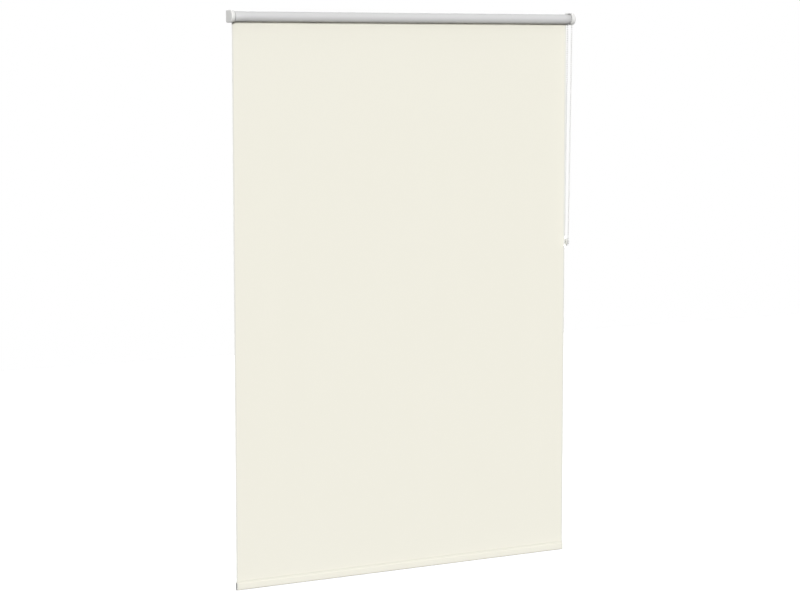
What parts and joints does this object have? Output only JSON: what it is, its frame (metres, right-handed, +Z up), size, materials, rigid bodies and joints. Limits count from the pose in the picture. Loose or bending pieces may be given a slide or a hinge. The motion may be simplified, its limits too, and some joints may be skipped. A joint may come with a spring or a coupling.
{
  "type": "roller blind",
  "caption": "Blackout roller blind: cream fabric on an aluminium roller tube, turned by an endless bead chain through a spring clutch and held by two covered wall brackets.",
  "frame": {"origin": "middle of the idle bracket's wall face, on the wall, level with the roller axis", "axes": "+X along the width from the idle end to the drive end, +Y into the wall, -Y into the room, +Z up"},
  "size_m": [1.042, 0.0602, 1.5162],
  "materials": {
    "white_plastic": "satin moulded",
    "grey_plastic": "satin moulded",
    "dark_plastic": "satin moulded",
    "clear_plastic": "clear moulded",
    "cream_fabric": "plain woven polyester, coated",
    "coated_fabric": "smooth blackout coating",
    "aluminium": "mill",
    "zinc_steel": "zinc plated"
  },
  "bodies": {
    "root": {"idle_bracket": "white_plastic", "idle_cover": "white_plastic", "idle_screw_upper": "zinc_steel", "idle_screw_lower": "zinc_steel", "drive_bracket": "white_plastic", "drive_cover": "white_plastic", "drive_screw_upper": "zinc_steel", "drive_screw_lower": "zinc_steel", "clutch_post": "grey_plastic", "post_clip": "zinc_steel", "fabric_panel": "cream_fabric", "control_chain": "white_plastic", "tensioner_bracket": "clear_plastic", "tensioner_axle": "zinc_steel", "tensioner_screw_upper": "zinc_steel", "tensioner_screw_lower": "zinc_steel"},
    "roller": {"roller_tube": "aluminium", "fabric_edge_strip": "clear_plastic", "fabric_wrap": "coated_fabric", "idle_plug": "white_plastic", "idle_pin_spring": "zinc_steel", "idle_spring_seat": "grey_plastic", "clutch_drum": "grey_plastic"},
    "drive_wheel": {"chain_wheel": "white_plastic", "wrap_spring_outer": "zinc_steel", "wrap_spring_inner": "zinc_steel"},
    "idle_pin": {"idle_pin": "grey_plastic"},
    "bottom_bar": {"hem_pocket": "cream_fabric", "bottom_bar": "aluminium", "bar_cap_idle": "dark_plastic", "bar_cap_drive": "dark_plastic"},
    "tensioner_pulley": {"tensioner_pulley": "white_plastic"}
  },
  "joints": [
    {"name": "roller_turn", "type": "hinge", "parent": "root", "child": "roller", "pos_m": [0, -0.024, 0], "axis": [1, 0, 0], "range_deg": [0, 5040]},
    {"name": "chain_wheel_turn", "type": "hinge", "parent": "root", "child": "drive_wheel", "pos_m": [1.0117, -0.024, 0], "axis": [1, 0, 0], "range_deg": [0, 5040]},
    {"name": "tensioner_pulley_turn", "type": "hinge", "parent": "root", "child": "tensioner_pulley", "pos_m": [1.013, -0.0138, -0.62], "axis": [1, 0, 0], "range_deg": [0, 5883]},
    {"name": "bottom_bar_lift", "type": "slide", "parent": "root", "child": "bottom_bar", "axis": [0, 0, 1], "range_m": [0, 1.4436], "deforming": ["fabric_panel"]},
    {"name": "idle_pin_slide", "type": "slide", "parent": "roller", "child": "idle_pin", "axis": [1, 0, 0], "range_m": [0, 0.0055], "stiffness_N_per_m": 300, "springref_m": -0.008, "deforming": ["idle_pin_spring"]}
  ],
  "couplings": [
    {"joint": "chain_wheel_turn", "follows": "roller_turn", "ratio": 1},
    {"joint": "tensioner_pulley_turn", "follows": "roller_turn", "ratio": 1.1671},
    {"joint": "bottom_bar_lift", "follows": "roller_turn", "m_per_rad": 0.01641}
  ]
}
